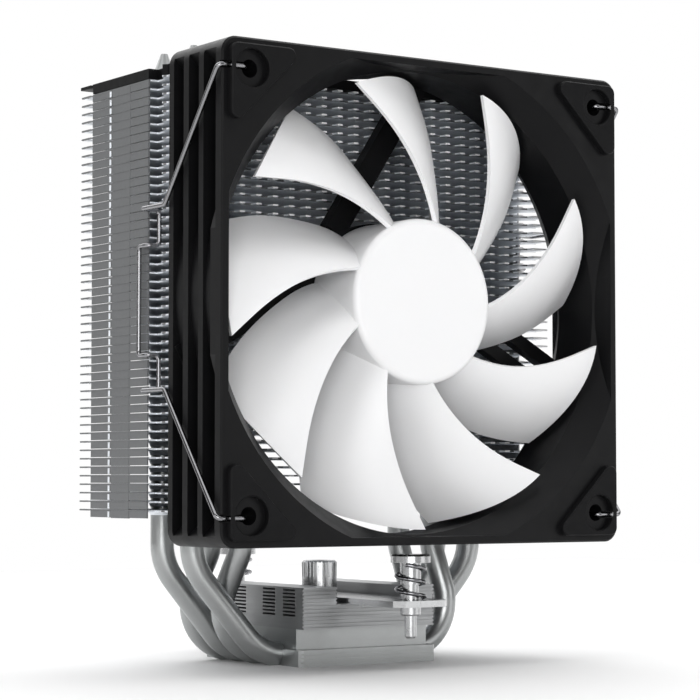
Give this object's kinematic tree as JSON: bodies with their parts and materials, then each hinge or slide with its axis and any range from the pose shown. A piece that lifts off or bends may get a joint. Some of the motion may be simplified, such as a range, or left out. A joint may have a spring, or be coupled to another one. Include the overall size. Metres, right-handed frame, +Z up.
{
  "type": "cpu tower cooler",
  "caption": "Tower cooler for a computer processor: grooved base, bent heat pipes through a stack of thin fins, black top plate, and a square axial fan held on the front by wire clips.",
  "frame": {"origin": "centre of the contact face that rests on the processor", "axes": "+Z up along the tower, -Y is the fan's intake side (front), +X to the right seen from the front, along the heat pipes' run through the base"},
  "size_m": [0.123, 0.0986, 0.156],
  "materials": {
    "nickel": "bright nickel plate over copper",
    "base_aluminium": "machined, lightly brushed",
    "fin_aluminium": "rolled sheet, satin",
    "black_coating": "fine matt powder coat",
    "steel": "bright zinc or nickel plate",
    "spring_steel": "drawn spring wire, nickel plated",
    "black_plastic": "moulded, fine grain",
    "black_rubber": "soft moulded rubber",
    "white_plastic": "moulded, satin",
    "magnet": "bonded ferrite",
    "nylon": "natural nylon",
    "bronze": "sintered bronze",
    "copper": "enamelled copper wire",
    "board": "glass-fibre board with lacquer"
  },
  "bodies": {
    "heatsink": {"base_plate": "nickel", "base_block": "base_aluminium", "heat_pipe_1": "nickel", "heat_pipe_2": "nickel", "heat_pipe_3": "nickel", "heat_pipe_4": "nickel", "fin_stack": "fin_aluminium", "top_plate": "black_coating", "mounting_bar": "steel", "centre_post": "steel", "fan_frame": "black_plastic", "corner_pads": "black_rubber", "bearing": "bronze", "stator_core": "steel", "stator_coils": "copper", "insulator": "nylon", "circuit_board": "board"},
    "rotor": {"rotor": "white_plastic", "rotor_yoke": "steel", "magnet_ring": "magnet", "rotor_shaft": "steel", "shaft_clip": "nylon"},
    "spring_post_front": {"retainer_front": "steel", "spring_front": "spring_steel"},
    "screw_front": {"screw_front": "steel"},
    "spring_post_rear": {"retainer_rear": "steel", "spring_rear": "spring_steel"},
    "screw_rear": {"screw_rear": "steel"},
    "clip_left": {"clip_left": "spring_steel"},
    "clip_right": {"clip_right": "spring_steel"}
  },
  "joints": [
    {"name": "rotor_spin", "type": "hinge", "parent": "heatsink", "child": "rotor", "pos_m": [0, -0.0495, 0.0907], "axis": [0, -1, 0], "continuous": true},
    {"name": "screw_front_press", "type": "slide", "parent": "heatsink", "child": "spring_post_front", "axis": [0, 0, -1], "range_m": [0, 0.0035], "stiffness_N_per_m": 4000, "deforming": ["spring_front"]},
    {"name": "screw_front_turn", "type": "hinge", "parent": "spring_post_front", "child": "screw_front", "pos_m": [0, -0.041, 0.0282], "axis": [0, 0, 1], "continuous": true},
    {"name": "screw_rear_press", "type": "slide", "parent": "heatsink", "child": "spring_post_rear", "axis": [0, 0, -1], "range_m": [0, 0.0035], "stiffness_N_per_m": 4000, "deforming": ["spring_rear"]},
    {"name": "screw_rear_turn", "type": "hinge", "parent": "spring_post_rear", "child": "screw_rear", "pos_m": [0, 0.041, 0.0282], "axis": [0, 0, 1], "continuous": true},
    {"name": "clip_left_swing", "type": "hinge", "parent": "heatsink", "child": "clip_left", "pos_m": [-0.0532, -0.0493, 0.0907], "axis": [0, 0, 1], "range_deg": [0, 9], "stiffness_Nm_per_rad": 0.2},
    {"name": "clip_right_swing", "type": "hinge", "parent": "heatsink", "child": "clip_right", "pos_m": [0.0532, -0.0493, 0.0907], "axis": [0, 0, -1], "range_deg": [0, 9], "stiffness_Nm_per_rad": 0.2}
  ]
}
